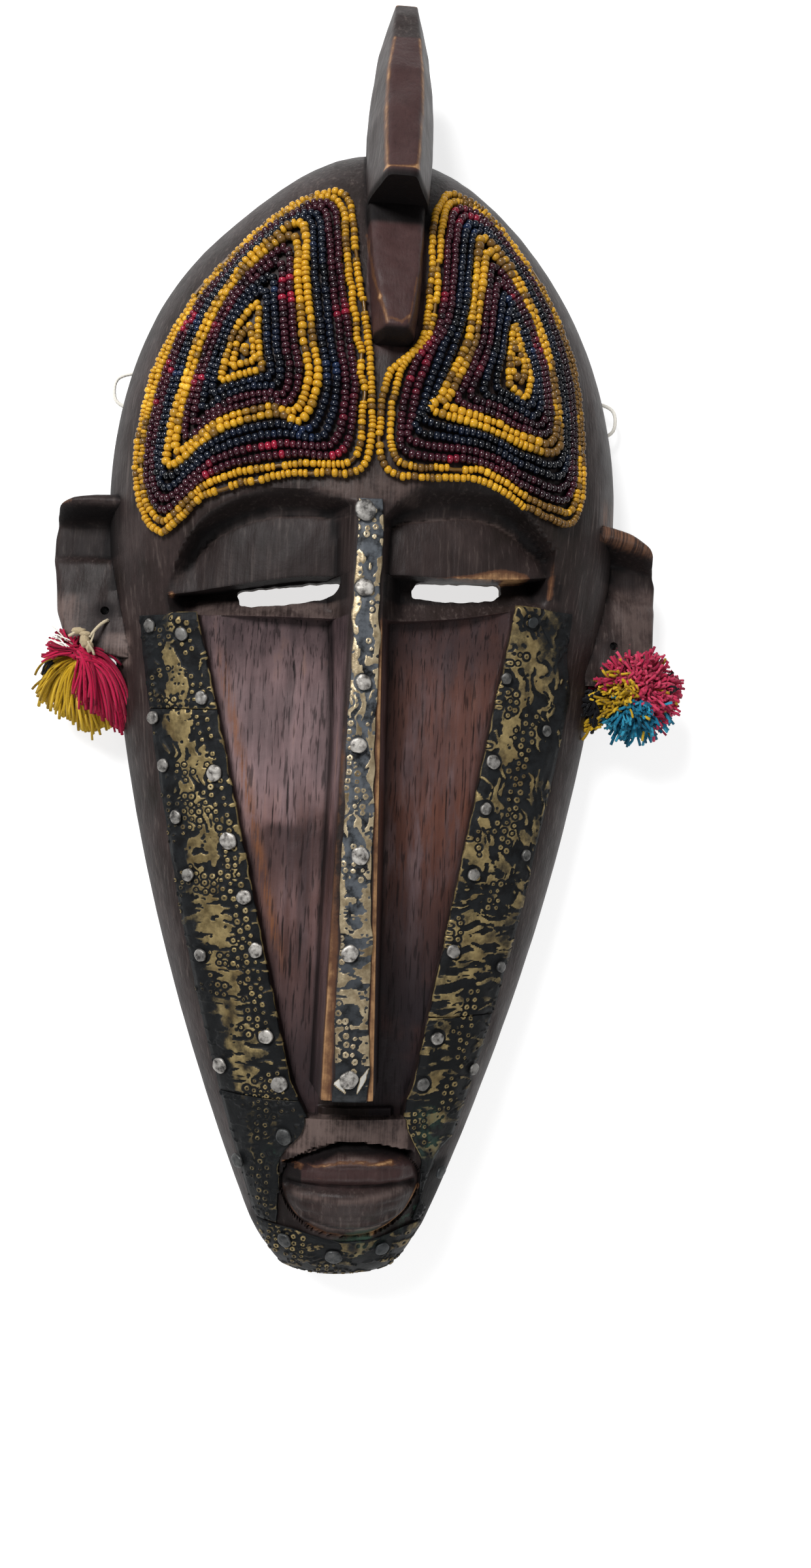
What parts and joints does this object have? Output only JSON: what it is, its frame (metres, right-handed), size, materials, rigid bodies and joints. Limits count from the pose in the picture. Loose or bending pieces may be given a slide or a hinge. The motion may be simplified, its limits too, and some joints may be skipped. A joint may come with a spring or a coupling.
{
  "type": "carved wooden wall mask",
  "caption": "Hollow carved wooden face mask with a blade crest, slit eyes, brass-covered cheeks and nose, sewn glass bead lobes and yarn tassels at the ears.",
  "frame": {"origin": "on the plane of the flat back rim, at the middle of the overall outline", "axes": "+Y to the crest, +Z out of the face, +X to the right as seen from the front"},
  "size_m": [0.2, 0.388, 0.068],
  "materials": {
    "carved_wood": "dark stained and smoked, satin, worn to orange-brown at the edges",
    "brass_sheet": "thin hammered sheet, near-black patina in the punched hollows, rubbed bright on the raised parts",
    "nail_head": "hammered domed heads, dull grey",
    "bead_yellow": "opaque ochre glass, glossy",
    "bead_burgundy": "dark wine-red glass, glossy",
    "bead_navy": "dark blue-black glass, glossy",
    "tassel_yarn": "dyed cotton yarn, matt",
    "cotton_thread": "undyed cotton, matt"
  },
  "bodies": {
    "root": {"wood_mask": "carved_wood", "brass_nose_strip": "brass_sheet", "brass_left_upper": "brass_sheet", "brass_left_cheek": "brass_sheet", "brass_left_jaw": "brass_sheet", "brass_right_cheek": "brass_sheet", "brass_right_jaw": "brass_sheet", "brass_chin": "brass_sheet", "nail_nose_1": "nail_head", "nail_nose_2": "nail_head", "nail_nose_3": "nail_head", "nail_nose_4": "nail_head", "nail_nose_5": "nail_head", "nail_nose_6": "nail_head", "nail_nose_7": "nail_head", "nail_left_inner_1": "nail_head", "nail_left_inner_2": "nail_head", "nail_left_inner_3": "nail_head", "nail_left_inner_4": "nail_head", "nail_left_inner_5": "nail_head", "nail_left_inner_6": "nail_head", "nail_left_inner_7": "nail_head", "nail_left_inner_8": "nail_head", "nail_left_inner_9": "nail_head", "nail_left_outer_1": "nail_head", "nail_left_outer_2": "nail_head", "nail_left_outer_3": "nail_head", "nail_left_outer_4": "nail_head", "nail_left_outer_5": "nail_head", "nail_left_outer_6": "nail_head", "nail_left_outer_7": "nail_head", "nail_right_inner_1": "nail_head", "nail_right_inner_2": "nail_head", "nail_right_inner_3": "nail_head", "nail_right_inner_4": "nail_head", "nail_right_inner_5": "nail_head", "nail_right_inner_6": "nail_head", "nail_right_inner_7": "nail_head", "nail_right_inner_8": "nail_head", "nail_right_outer_1": "nail_head", "nail_right_outer_2": "nail_head", "nail_right_outer_3": "nail_head", "nail_chin_1": "nail_head", "beads_left_yellow_outer": "bead_yellow", "beads_left_burgundy_outer": "bead_burgundy", "beads_left_navy_outer": "bead_navy", "beads_left_yellow_middle": "bead_yellow", "beads_left_burgundy_inner": "bead_burgundy", "beads_left_navy_inner": "bead_navy", "beads_left_yellow_core": "bead_yellow", "beads_right_yellow_outer": "bead_yellow", "beads_right_burgundy_outer": "bead_burgundy", "beads_right_navy_outer": "bead_navy", "beads_right_yellow_middle": "bead_yellow", "beads_right_burgundy_inner": "bead_burgundy", "beads_right_navy_inner": "bead_navy", "beads_right_yellow_core": "bead_yellow", "tassel_left": "tassel_yarn", "tassel_right": "tassel_yarn", "hanging_thread": "cotton_thread"}
  },
  "joints": []
}
